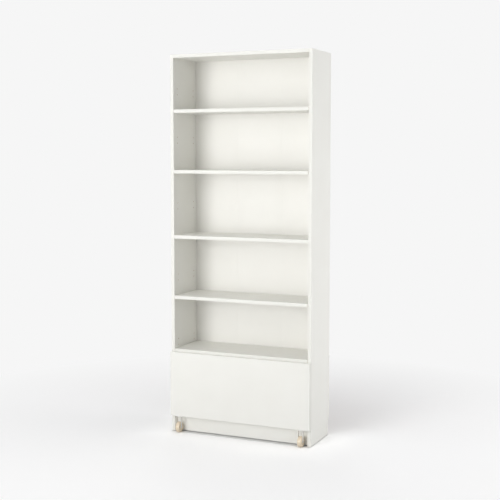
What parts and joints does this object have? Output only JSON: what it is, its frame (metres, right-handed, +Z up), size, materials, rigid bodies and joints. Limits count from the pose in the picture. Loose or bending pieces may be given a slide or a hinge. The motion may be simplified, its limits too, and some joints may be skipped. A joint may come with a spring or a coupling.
{
  "type": "bookcase with bottom drawer",
  "caption": "Tall narrow white bookcase with open shelves and a wide flat-fronted drawer at the foot that rolls out on pale wooden wheels.",
  "frame": {"origin": "on the floor, in the middle of the space that the bookcase takes up in plan, castor wheels included", "axes": "+X to the right seen from the front, +Y towards the wall, +Z up"},
  "size_m": [0.8, 0.3194, 2.038],
  "materials": {
    "white_foil": "satin white foil on chipboard",
    "white_hardboard": "satin white lacquer on hardboard",
    "back_tape": "matt self-adhesive paper tape",
    "zinc_steel": "zinc plated",
    "white_steel": "white powder coat",
    "beech": "clear matt lacquer",
    "dowel_beech": "raw, fluted",
    "white_plastic": "moulded, fine matt",
    "clear_bumper": "soft, translucent grey",
    "nylon": "smooth nylon"
  },
  "bodies": {
    "carcass": {"side_left": "white_foil", "side_right": "white_foil", "top_panel": "white_foil", "middle_shelf": "white_foil", "bottom_panel": "white_foil", "plinth": "white_foil", "back_leaf_left": "white_hardboard", "back_leaf_middle": "white_hardboard", "back_leaf_right": "white_hardboard", "back_tapes": "back_tape", "back_pins": "zinc_steel", "cam_bolts": "zinc_steel", "cam_discs": "zinc_steel", "wood_dowels": "dowel_beech", "foot_glides": "white_plastic", "wall_brackets": "white_steel", "wall_bracket_screws": "zinc_steel", "pegs_bottom": "white_plastic", "pegs_lower": "white_plastic", "pegs_upper": "white_plastic", "pegs_top": "white_plastic", "drawer_stop_left": "white_plastic", "drawer_stop_right": "white_plastic", "drawer_stop_screws": "zinc_steel"},
    "shelf_bottom": {"shelf_bottom": "white_foil"},
    "shelf_lower": {"shelf_lower": "white_foil"},
    "shelf_upper": {"shelf_upper": "white_foil"},
    "shelf_top": {"shelf_top": "white_foil"},
    "drawer": {"drawer_front": "white_foil", "front_bumpers": "clear_bumper", "drawer_side_left": "white_foil", "drawer_side_right": "white_foil", "drawer_back": "white_foil", "drawer_bottom": "white_hardboard", "drawer_cam_bolts": "zinc_steel", "drawer_cam_discs": "zinc_steel", "drawer_dowels": "dowel_beech", "drawer_back_screws": "zinc_steel", "castor_fork_left": "white_steel", "castor_fork_right": "white_steel", "castor_axles": "zinc_steel", "castor_screws": "zinc_steel", "roller_pins": "zinc_steel"},
    "wheel_left": {"castor_wheel_left": "beech", "castor_bush_left": "nylon"},
    "wheel_right": {"castor_wheel_right": "beech", "castor_bush_right": "nylon"},
    "roller_left": {"rear_roller_left": "nylon"},
    "roller_right": {"rear_roller_right": "nylon"}
  },
  "joints": [
    {"name": "drawer_slide", "type": "slide", "parent": "carcass", "child": "drawer", "axis": [0, -1, 0], "range_m": [0, 0.19]},
    {"name": "wheel_left_spin", "type": "hinge", "parent": "drawer", "child": "wheel_left", "pos_m": [-0.35, -0.13125, 0.0285], "axis": [1, 0, 0], "continuous": true},
    {"name": "roller_left_spin", "type": "hinge", "parent": "drawer", "child": "roller_left", "pos_m": [-0.374, 0.11175, 0.1123], "axis": [1, 0, 0], "continuous": true},
    {"name": "wheel_right_spin", "type": "hinge", "parent": "drawer", "child": "wheel_right", "pos_m": [0.35, -0.13125, 0.0285], "axis": [1, 0, 0], "continuous": true},
    {"name": "roller_right_spin", "type": "hinge", "parent": "drawer", "child": "roller_right", "pos_m": [0.374, 0.11175, 0.1123], "axis": [1, 0, 0], "continuous": true},
    {"name": "lift_bottom", "type": "slide", "parent": "carcass", "child": "shelf_bottom", "axis": [0, 0, 1], "range_m": [0, 0.02]},
    {"name": "lift_lower", "type": "slide", "parent": "carcass", "child": "shelf_lower", "axis": [0, 0, 1], "range_m": [0, 0.02]},
    {"name": "lift_upper", "type": "slide", "parent": "carcass", "child": "shelf_upper", "axis": [0, 0, 1], "range_m": [0, 0.02]},
    {"name": "lift_top", "type": "slide", "parent": "carcass", "child": "shelf_top", "axis": [0, 0, 1], "range_m": [0, 0.02]}
  ],
  "couplings": [
    {"joint": "wheel_left_spin", "follows": "drawer_slide", "rad_per_m": 35.088},
    {"joint": "roller_left_spin", "follows": "drawer_slide", "rad_per_m": 83.333},
    {"joint": "wheel_right_spin", "follows": "drawer_slide", "rad_per_m": 35.088},
    {"joint": "roller_right_spin", "follows": "drawer_slide", "rad_per_m": 83.333}
  ]
}
